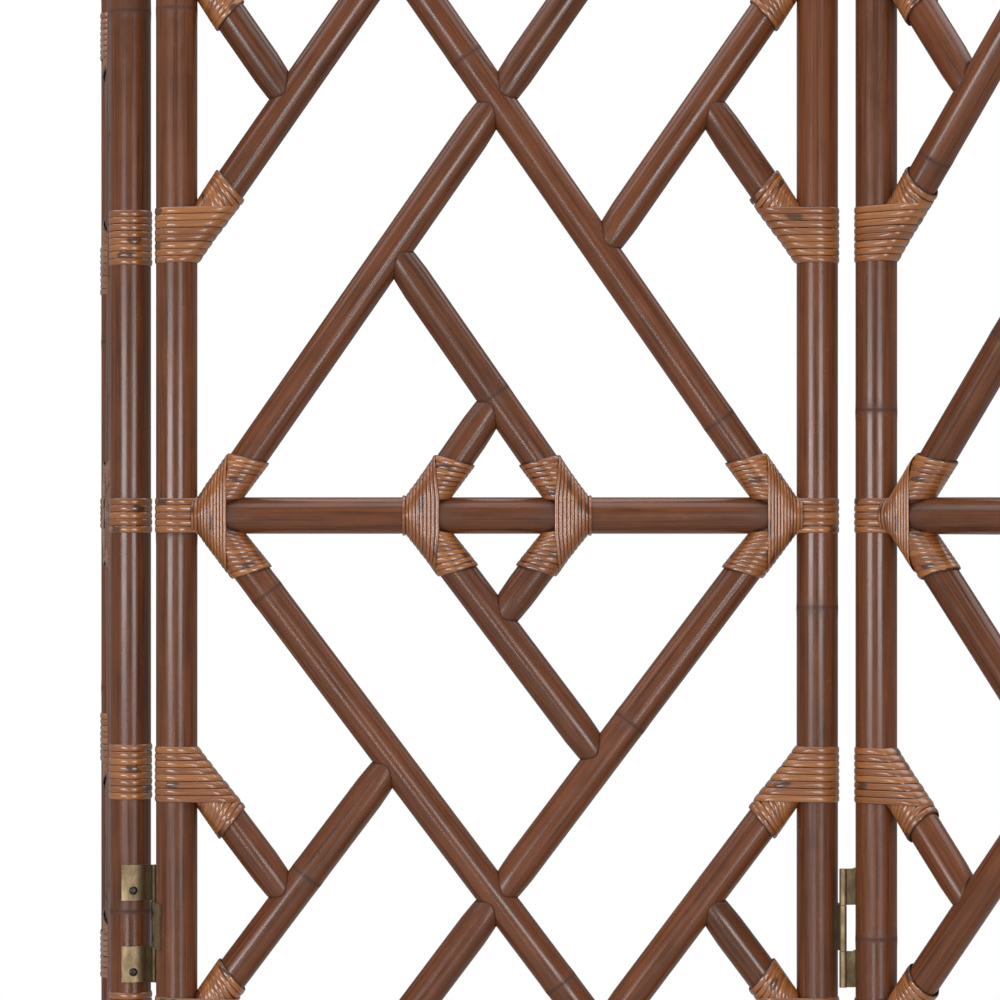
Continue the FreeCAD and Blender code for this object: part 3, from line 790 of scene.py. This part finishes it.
def stained_rattan(tree, finish):
    """Peeled rattan pole, stained walnut brown and lacquered: streaky, with satin gloss."""
    uv = add(tree, "ShaderNodeUVMap", uv_map="cane")
    tint = add(tree, "ShaderNodeAttribute", attribute_name="tint").outputs["Fac"]
    dark = add(tree, "ShaderNodeAttribute", attribute_name="node").outputs["Fac"]
    # Fibres show as streaks one or two millimetres wide and some centimetres long
    fibre_place = add(tree, "ShaderNodeMapping", {"Vector": uv, "Scale": per_size(1.8, 110.0, 0)})
    fibre = add(tree, "ShaderNodeTexNoise",
                {"Vector": fibre_place, "Scale": 1.0, "Detail": 4.0, "Roughness": 0.6})
    band_place = add(tree, "ShaderNodeMapping", {"Vector": uv, "Scale": per_size(6.0, 120.0, 0)})
    band = add(tree, "ShaderNodeTexNoise", {"Vector": band_place, "Scale": 1.0, "Detail": 3.0})
    # Stain pools in smudges one to three centimetres across
    smudge_place = add(tree, "ShaderNodeMapping", {"Vector": uv, "Scale": per_size(14.0, 30.0, 0)})
    smudge = add(tree, "ShaderNodeTexNoise",
                 {"Vector": smudge_place, "Scale": 1.0, "Detail": 5.0, "Roughness": 0.65})
    shade = add(tree, "ShaderNodeMath", {0: smudge, 1: 0.9, 2: -0.45}, operation="MULTIPLY_ADD")
    streaks = add(tree, "ShaderNodeMath", {0: band, 1: 0.9, 2: shade}, operation="MULTIPLY_ADD")
    mix = add(tree, "ShaderNodeMath", {0: tint, 1: 0.75, 2: streaks}, operation="MULTIPLY_ADD")
    tone = add(tree, "ShaderNodeMapRange", {"Value": mix, "From Min": 0.25, "From Max": 1.15})
    base = add(tree, "ShaderNodeMix", {"Factor": tone, MIX_FROM: rgba(finish.pole_umber),
                                       MIX_TO: rgba(finish.pole_red)}, data_type="RGBA")
    line = add(tree, "ShaderNodeMapRange",
               {"Value": fibre, "From Min": 0.46, "From Max": 0.74, "To Max": 0.75})
    # Growth rings and the bands beside bindings are darkened; at coped ends the darkness is painted shade
    ring = add(tree, "ShaderNodeMath", {0: dark, 1: 0.55}, operation="MULTIPLY")
    stain_and_shade = add(tree, "ShaderNodeMath", {0: line, 1: ring}, operation="MAXIMUM")
    streaked_and_shaded = add(tree, "ShaderNodeMix", {"Factor": stain_and_shade, MIX_FROM: base,
                                           MIX_TO: rgba(finish.pole_streak_and_shade)}, data_type="RGBA")
    gloss = add(tree, "ShaderNodeMapRange", {"Value": smudge, "From Min": 0.3, "From Max": 0.7,
                                             "To Min": 0.19, "To Max": 0.3})
    dull = add(tree, "ShaderNodeMath", {0: dark, 1: 0.5, 2: gloss}, operation="MULTIPLY_ADD")
    bump = add(tree, "ShaderNodeBump", {"Height": fibre, "Strength": 0.3, "Distance": 0.0003})
    return {"Base Color": streaked_and_shaded, "Roughness": dull, "Normal": bump, "IOR": 1.5,
            "Specular IOR Level": 0.4, "Coat Weight": 0.2, "Coat Roughness": 0.15}


def sawn_rattan(tree, finish):
    """Sawn end of a rattan pole: dull and stained, with the open pores of its fibres."""
    uv = add(tree, "ShaderNodeUVMap", uv_map="cane")
    pore_place = add(tree, "ShaderNodeMapping", {"Vector": uv, "Scale": per_size(1.2, 1.2, 0)})
    pores = add(tree, "ShaderNodeTexVoronoi", {"Vector": pore_place, "Scale": 1.0})
    dots = add(tree, "ShaderNodeMapRange", {"Value": pores, "From Min": 0.15, "From Max": 0.45})
    base = add(tree, "ShaderNodeMix", {"Factor": dots, MIX_FROM: rgba(finish.pole_streak_and_shade),
                                       MIX_TO: rgba(finish.pole_red)}, data_type="RGBA")
    bump = add(tree, "ShaderNodeBump", {"Height": dots, "Strength": 0.4, "Distance": 0.0003})
    return {"Base Color": base, "Roughness": 0.75, "Normal": bump}


SCAR_SPACING = 0.22       # along a strip of peel from one leaf scar to the next


def honey_peel(tree, finish):
    """Rattan peel with its natural skin: honey brown and glossy, with leaf scars now and then."""
    uv = add(tree, "ShaderNodeUVMap", uv_map="strip")
    tint = add(tree, "ShaderNodeAttribute", attribute_name="tint").outputs["Fac"]
    split = add(tree, "ShaderNodeSeparateXYZ", {"Vector": uv})
    along = split.outputs["X"]
    across = split.outputs["Y"]
    # Fibres a fifth of a strip wide and a few centimetres long
    fibre_place = add(tree, "ShaderNodeMapping", {"Vector": uv, "Scale": (1 / (28 * MM), 5.0, 0.0)})
    fibre = add(tree, "ShaderNodeTexNoise",
                {"Vector": fibre_place, "Scale": 1.0, "Detail": 4.0, "Roughness": 0.6})
    cloud_place = add(tree, "ShaderNodeMapping", {"Vector": uv, "Scale": (1 / (16 * MM), 0.8, 0.0)})
    cloud = add(tree, "ShaderNodeTexNoise", {"Vector": cloud_place, "Scale": 1.0, "Detail": 3.0})
    mix = add(tree, "ShaderNodeMath", {0: tint, 1: 0.5, 2: fibre}, operation="MULTIPLY_ADD")
    tone = add(tree, "ShaderNodeMapRange", {"Value": mix, "From Min": 0.45, "From Max": 1.0})
    base = add(tree, "ShaderNodeMix", {"Factor": tone, MIX_FROM: rgba(finish.peel_brown),
                                       MIX_TO: rgba(finish.peel_honey)}, data_type="RGBA")
    # A leaf scar crosses the strip, some 10 mm long with ragged ends
    scar_place = add(tree, "ShaderNodeMath", {0: along, 1: SCAR_SPACING / 2}, operation="PINGPONG")
    ragged = add(tree, "ShaderNodeMath", {0: cloud, 1: 0.012, 2: scar_place}, operation="MULTIPLY_ADD")
    scar = add(tree, "ShaderNodeMapRange", {"Value": ragged, "From Min": 0.010, "From Max": 0.0125,
                                            "To Min": 0.75, "To Max": 0.0})
    # Stain gathers along both edges of a strip; the rims also carry painted shade where strips meet
    middle = add(tree, "ShaderNodeMath", {0: across, 1: 0.5}, operation="SUBTRACT")
    edge = add(tree, "ShaderNodeMath", {0: middle}, operation="ABSOLUTE")
    rim = add(tree, "ShaderNodeMapRange",
              {"Value": edge, "From Min": 0.35, "From Max": 0.46, "To Max": 0.95})
    stain_and_shade = add(tree, "ShaderNodeMath", {0: rim, 1: scar}, operation="MAXIMUM")
    stained_and_shaded = add(tree, "ShaderNodeMix", {"Factor": stain_and_shade, MIX_FROM: base,
                                          MIX_TO: rgba(finish.peel_edge_stain_and_shade)}, data_type="RGBA")
    bump = add(tree, "ShaderNodeBump", {"Height": fibre, "Strength": 0.15, "Distance": 0.0003})
    gloss = add(tree, "ShaderNodeMapRange", {"Value": fibre, "From Min": 0.3, "From Max": 0.7,
                                             "To Min": 0.22, "To Max": 0.32})
    return {"Base Color": stained_and_shaded, "Roughness": gloss, "Normal": bump, "IOR": 1.5,
            "Coat Weight": 1.0, "Coat Roughness": 0.2}


def aged_brass(tree, finish, least_darkening, most_darkening):
    """Rolled brass with an aged brown film between two strengths: soft sheen. The strongest film is painted
    shade on hinge parts in shade.
    """
    place_of = add(tree, "ShaderNodeTexCoord").outputs["Object"]
    film_place = add(tree, "ShaderNodeMapping", {"Vector": place_of, "Scale": per_size(7.0, 7.0, 12.0)})
    film = add(tree, "ShaderNodeTexNoise",
               {"Vector": film_place, "Scale": 1.0, "Detail": 5.0, "Roughness": 0.65})
    # Rolling lines are drawn at half a millimetre so that they show
    line_place = add(tree, "ShaderNodeMapping", {"Vector": place_of, "Scale": per_size(0.5, 0.5, 20.0)})
    lines = add(tree, "ShaderNodeTexNoise", {"Vector": line_place, "Scale": 1.0, "Detail": 3.0})
    cover = add(tree, "ShaderNodeMapRange", {"Value": film, "From Min": 0.4, "From Max": 0.75,
                                             "To Min": least_darkening, "To Max": most_darkening})
    base = add(tree, "ShaderNodeMix", {"Factor": cover, MIX_FROM: rgba(finish.brass),
                                       MIX_TO: rgba(finish.patina_and_shade)}, data_type="RGBA")
    gloss = add(tree, "ShaderNodeMapRange", {"Value": film, "From Min": 0.3, "From Max": 0.7,
                                             "To Min": 0.42, "To Max": 0.6})
    bump = add(tree, "ShaderNodeBump", {"Height": lines, "Strength": 0.08, "Distance": 0.0002})
    return {"Base Color": base, "Roughness": gloss, "Normal": bump, "Metallic": 1.0}


def black_steel(tree):
    """Blackened steel of screws and pins: dark, with grey wear."""
    place_of = add(tree, "ShaderNodeTexCoord").outputs["Object"]
    wear_place = add(tree, "ShaderNodeMapping", {"Vector": place_of, "Scale": per_size(1.5, 1.5, 1.5)})
    wear = add(tree, "ShaderNodeTexNoise", {"Vector": wear_place, "Scale": 1.0, "Detail": 4.0})
    base = add(tree, "ShaderNodeMix", {"Factor": wear, MIX_FROM: rgba(linear("2b2726")),
                                       MIX_TO: rgba(linear("5e5654"))}, data_type="RGBA")
    return {"Base Color": base, "Roughness": 0.34, "Metallic": 1.0}


def turned_beech(tree):
    """Turned beech dowel: pale, with fine flecks along its grain."""
    place_of = add(tree, "ShaderNodeTexCoord").outputs["Object"]
    fleck_place = add(tree, "ShaderNodeMapping", {"Vector": place_of, "Scale": per_size(0.8, 0.8, 4.0)})
    fleck = add(tree, "ShaderNodeTexNoise", {"Vector": fleck_place, "Scale": 1.0, "Detail": 3.0})
    base = add(tree, "ShaderNodeMix", {"Factor": fleck, MIX_FROM: rgba(linear("b58a5c")),
                                       MIX_TO: rgba(linear("d8b98c"))}, data_type="RGBA")
    return {"Base Color": base, "Roughness": 0.6}


def floor_paint(tree):
    """Pale matt paint of the floor: even and grey."""
    return {"Base Color": rgba(linear("a5a3a0")), "Roughness": 0.7}


POLE_SEED = 24943         # start of the random tones and growth rings of the first panel's poles
PEEL_SEED = 31            # start of the random shades and wobble of the first group of bindings


class DIVIDER_OT_poles(bpy.types.Operator):
    """Make the posts, rails, braces and frets of every panel"""
    bl_idname = "divider.poles"
    bl_label = "Rattan poles"

    def execute(self, context):
        sizes = context.scene.divider_poles
        finish = context.scene.divider_finish
        materials = [finished("stained_rattan_lacquered", stained_rattan, finish),
                     finished("sawn_rattan_end", sawn_rattan, finish)]
        for seed, name in enumerate(PANELS):
            dice = random.Random(POLE_SEED + seed)
            panel = Panel(name)
            for node, poles in panel_poles(panel, sizes).items():
                mesh = joined([cane(pole, sizes, dice) for pole in poles])
                mesh.transform(panel.matrix)
                cad_node = name + "_" + node
                place(mesh, cad_node + "_cane", name, cad_node, "rattan_pole", materials)
        return {"FINISHED"}


class DIVIDER_OT_bindings(bpy.types.Operator):
    """Wind the peel round the joints of every panel"""
    bl_idname = "divider.bindings"
    bl_label = "Peel bindings"

    def execute(self, context):
        scene = context.scene
        material = finished("rattan_peel_glossy", honey_peel, scene.divider_finish)
        middle = Bindings(Panel("middle_panel"), scene.divider_poles, scene.divider_peel)
        makers = {
            "post_bindings": middle.post_bindings,
            "rail_end_bindings": middle.rail_end_bindings,
            "rail_bindings": middle.rail_bindings,
        }
        for seed, (node, make) in enumerate(makers.items()):
            wound = joined(make(random.Random(PEEL_SEED + seed)))
            for name in PANELS:
                mesh = wound.copy()
                mesh.transform(Panel(name).matrix)
                cad_node = name + "_" + node
                place(mesh, cad_node + "_peel", name, cad_node, "rattan_peel", [material])
            bpy.data.meshes.remove(wound)
        return {"FINISHED"}


KNUCKLE_REACH = 0.0029    # from the axis of a pin to the outside of its knuckles
STRAP_REACH = 0.0173      # from the axis of a post to the outside of a strap on it
LIT_PINS = "right_hinge_pins"    # these stand in front in the light: their knuckles keep the lit brass, the others get painted shade


def shade_tabs_and_knuckles(mesh, pin_node, posts):
    """Gives the tabs and the knuckles in shade the second material, brass with painted shade; straps and
    lit knuckles keep the first.
    """
    low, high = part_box(pin_node)
    pin = (Vector(low) + Vector(high)).xy / 2
    for face in mesh.polygons:
        spot = face.center.xy
        # Knuckles and tabs away from the straps take the brass with painted shade, except the lit knuckles
        # in front
        if (spot - pin).length < KNUCKLE_REACH:
            face.material_index = int(pin_node != LIT_PINS)
        else:
            face.material_index = int(min((spot - post.xy).length for post in posts) > STRAP_REACH)


HEAD_STEPS = 24
RECESS_ARMS = 4
ARM_STEPS = 2             # steps of the head's ring that an arm of the recess is wide
RECESS_DEPTH = 0.7        # share of the head's height
SAME_POINT = 0.01 * MM
# Rings of a screw's domed head: share of its radius, share of its height
HEAD_RINGS = ((1.0, 0.0), (0.97, 0.3), (0.82, 0.66), (0.6, 0.88), (0.25, 0.99))


def islands(mesh):
    """Groups of joined vertices of a mesh, as lists of places."""
    bm = bmesh.new()
    bm.from_mesh(mesh)
    bmesh.ops.remove_doubles(bm, verts=bm.verts, dist=SAME_POINT)
    waiting = set(bm.verts)
    groups = []
    while waiting:
        reached = [waiting.pop()]
        group = []
        while reached:
            vert = reached.pop()
            group.append(vert.co.copy())
            for edge in vert.link_edges:
                other = edge.other_vert(vert)
                if other in waiting:
                    waiting.remove(other)
                    reached.append(other)
        groups.append(group)
    bm.free()
    return groups


def screw_head(seat, out, sizes):
    """Domed head with a cross recess over a screw's shank; it sits at a point and faces out."""
    bm = bmesh.new()
    radius = sizes.head_diameter / 2
    turn = Matrix.Translation(seat) @ out.to_track_quat("Z", "Y").to_matrix().to_4x4()
    bmesh.ops.create_circle(bm, segments=HEAD_STEPS, radius=radius, matrix=turn)
    ring = list(bm.verts)
    spokes = [vert.co - seat for vert in ring]
    shank_radius = sizes.screw_diameter / 2
    shank_place = turn @ Matrix.Translation(UP * (-sizes.screw_length / 2))
    shank = bmesh.ops.create_cone(bm, cap_ends=True, segments=HEAD_STEPS, radius1=shank_radius,
                                  radius2=shank_radius, depth=sizes.screw_length, matrix=shank_place)
    shank_verts = set(shank["verts"])
    bmesh.ops.contextual_create(bm, geom=ring_edges(ring))
    for share, rise in HEAD_RINGS[1:]:
        last = ring
        ring = extruded(bm, ring)
        for vert, spoke in zip(ring, spokes):
            vert.co = seat + spoke * share + out * (sizes.head_height * rise)
    # The recess takes the middle of the dome and some faces of its innermost ring
    arms = [i for i in range(HEAD_STEPS) if i % (HEAD_STEPS // RECESS_ARMS) < ARM_STEPS]
    recess = []
    for i in arms:
        opposite = ring[(i + 1) % HEAD_STEPS]
        recess.append(next(face for face in last[i].link_faces if opposite in face.verts))
    recess += bmesh.ops.contextual_create(bm, geom=ring_edges(ring))["faces"]
    sunk = bmesh.ops.extrude_face_region(bm, geom=recess)["geom"]
    bmesh.ops.delete(bm, geom=recess, context="FACES_ONLY")
    bottom = [item for item in sunk if isinstance(item, bmesh.types.BMVert)]
    bmesh.ops.translate(bm, vec=-out * sizes.head_height * RECESS_DEPTH, verts=bottom)
    bmesh.ops.recalc_face_normals(bm, faces=bm.faces)
    for face in bm.faces:
        face.smooth = not shank_verts.intersection(face.verts)
    for edge in bm.edges:
        edge.smooth = edge.calc_face_angle(0.0) < SHARP / 2
    return bm


def screw_heads(panel, cad_object, sizes):
    """Heads of a panel's screws; each screw points at the axis of the post that it is driven into."""
    posts = [panel.middle(side + "_post") for side in ("left", "right")]
    heads = []
    for places in islands(cad_object.data):
        centre = sum(places, Vector()) / len(places)
        axis = min(posts, key=lambda post: (post - centre).xy.length)
        out = Vector((centre.x - axis.x, centre.y - axis.y, 0.0)).normalized()
        top = max((place - centre).dot(out) for place in places)
        heads.append(screw_head(centre + out * (top - sizes.head_sunk), out, sizes))
    return heads


class DIVIDER_OT_hinges(bpy.types.Operator):
    """Finish the hinge leaves, pins, screws and dowels"""
    bl_idname = "divider.hinges"
    bl_label = "Hinges and dowels"

    def execute(self, context):
        finish = context.scene.divider_finish
        # The second brass is the first with its patina colour laid on thick as painted shade
        leaves = [finished("aged_brass_lit", aged_brass, finish, 0.0, 0.6),
                  finished("aged_brass_painted_shade", aged_brass, finish, 0.8, 1.0)]
        steel = finished("blackened_steel", black_steel)
        beech = finished("turned_beech", turned_beech)
        finishes = {"leaves": leaves, "pins": [steel], "dowels": [beech]}
        for name in PANELS:
            node = name + "_hinge_screws"
            heads = joined(screw_heads(Panel(name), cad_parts[node], context.scene.divider_screws))
            place(heads, node + "_heads", name, node, "dark_steel", [steel])
        posts = [Panel(name).middle(side + "_post") for name in PANELS for side in ("left", "right")]
        for node, cad_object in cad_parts.items():
            kind = node.rsplit("_", 1)[1]
            if kind not in finishes:
                continue
            cad_object.data.materials.clear()
            for material in finishes[kind]:
                cad_object.data.materials.append(material)
            if kind == "leaves":
                # Tabs and knuckles in shade get the brass with painted shade
                shade_tabs_and_knuckles(cad_object.data, node[:node.index("_hinge_")] + "_hinge_pins", posts)
        return {"FINISHED"}


CAMERA_PLACE = (-0.1611, -3.2983, 1.2124)
CAMERA_LENS = 157.0
AIM = (CAMERA_PLACE[0], -0.1, 1.0)    # what the softboxes face
FLOOR_RADIUS = 4.0
FILL_LEVEL = 0.72         # strength of the surround as a light
GLOSS_LEVEL = 0.24        # its strength in reflections
LIGHT_TINT = (0.93, 0.96, 1.0)
# Softboxes: bearing from the camera's side of the screen in degrees, distance, level, width, height, watts
SOFTBOXES = ((-37.0, 2.8, 1.2, 1.25, 0.48, 21.2), (20.0, 2.8, 1.2, 0.95, 0.48, 15.2),
             (-18.0, 4.8, 0.12, 1.2, 0.3, 14.0), (25.0, 3.6, 0.16, 0.77, 0.3, 8.4),
             (180.0, 0.1, 3.4, 6.5, 3.2, 112.0))


def softbox(name, bearing, distance, level, width, height, watts):
    light = bpy.data.lights.new(name, "AREA")
    light.shape = "RECTANGLE"
    light.size = width
    light.size_y = height
    light.energy = watts
    light.color = LIGHT_TINT
    lamp = bpy.data.objects.new(name, light)
    turn = math.radians(bearing)
    spot = Vector((AIM[0] + distance * math.sin(turn), AIM[1] - distance * math.cos(turn), level))
    heading = Vector(AIM) - spot
    lamp.matrix_world = Matrix.Translation(spot) @ heading.to_track_quat("-Z", "Y").to_matrix().to_4x4()
    lamp.visible_camera = False
    bpy.context.scene.collection.objects.link(lamp)


class DIVIDER_OT_stage(bpy.types.Operator):
    """Set up the floor, the white surround, the softboxes and the camera"""
    bl_idname = "divider.stage"
    bl_label = "Stage"

    def execute(self, context):
        scene = context.scene
        scene.view_settings.view_transform = "Standard"
        bm = bmesh.new()
        bmesh.ops.create_circle(bm, cap_ends=True, segments=96, radius=FLOOR_RADIUS)
        mesh = bpy.data.meshes.new("floor")
        bm.to_mesh(mesh)
        bm.free()
        mesh.materials.append(finished("pale_floor_paint", floor_paint))
        floor = bpy.data.objects.new("floor", mesh)
        scene.collection.objects.link(floor)
        world = bpy.data.worlds.new("white_surround")
        scene.world = world
        world.use_nodes = True
        tree = world.node_tree
        tree.nodes.clear()
        path = add(tree, "ShaderNodeLightPath")
        fill = add(tree, "ShaderNodeMapRange",
                   {"Value": path.outputs["Is Glossy Ray"], "To Min": FILL_LEVEL, "To Max": GLOSS_LEVEL})
        level = add(tree, "ShaderNodeMapRange",
                    {"Value": path.outputs["Is Camera Ray"], "To Min": fill, "To Max": 1.0})
        surround = add(tree, "ShaderNodeBackground", {"Color": (1.0, 1.0, 1.0, 1.0), "Strength": level})
        add(tree, "ShaderNodeOutputWorld", {"Surface": surround})
        for i, box in enumerate(SOFTBOXES):
            softbox("softbox_%d" % i, *box)
        camera = bpy.data.cameras.new("camera")
        camera.lens = CAMERA_LENS
        camera.sensor_width = 36.0
        camera.clip_end = 50.0
        eye = bpy.data.objects.new("camera", camera)
        eye.matrix_world = Matrix.Translation(CAMERA_PLACE) @ Matrix.Rotation(math.pi / 2, 4, "X")
        scene.collection.objects.link(eye)
        scene.camera = eye
        return {"FINISHED"}


class DIVIDER_PT_sidebar(bpy.types.Panel):
    """Sizes, finishes and steps of the room divider"""
    bl_label = "Rattan room divider"
    bl_idname = "DIVIDER_PT_sidebar"
    bl_space_type = "VIEW_3D"
    bl_region_type = "UI"
    bl_category = "Divider"

    def draw(self, context):
        scene = context.scene
        for group in (scene.divider_poles, scene.divider_peel, scene.divider_screws, scene.divider_finish):
            box = self.layout.box()
            for key in group.__annotations__:
                box.prop(group, key)
        for operator in OPERATORS:
            self.layout.operator(operator.bl_idname)


OPERATORS = (DIVIDER_OT_stage, DIVIDER_OT_poles, DIVIDER_OT_bindings, DIVIDER_OT_hinges)
CLASSES = (PoleSizes, PeelSizes, ScrewSizes, Finish, *OPERATORS, DIVIDER_PT_sidebar)


def register():
    for cls in CLASSES:
        bpy.utils.register_class(cls)
    bpy.types.Scene.divider_poles = PointerProperty(type=PoleSizes)
    bpy.types.Scene.divider_peel = PointerProperty(type=PeelSizes)
    bpy.types.Scene.divider_screws = PointerProperty(type=ScrewSizes)
    bpy.types.Scene.divider_finish = PointerProperty(type=Finish)


def unregister():
    del bpy.types.Scene.divider_finish
    del bpy.types.Scene.divider_screws
    del bpy.types.Scene.divider_peel
    del bpy.types.Scene.divider_poles
    for cls in reversed(CLASSES):
        bpy.utils.unregister_class(cls)


def main():
    register()
    bpy.ops.divider.stage()
    bpy.ops.divider.poles()
    bpy.ops.divider.bindings()
    bpy.ops.divider.hinges()


if __name__ == "__main__":
    main()
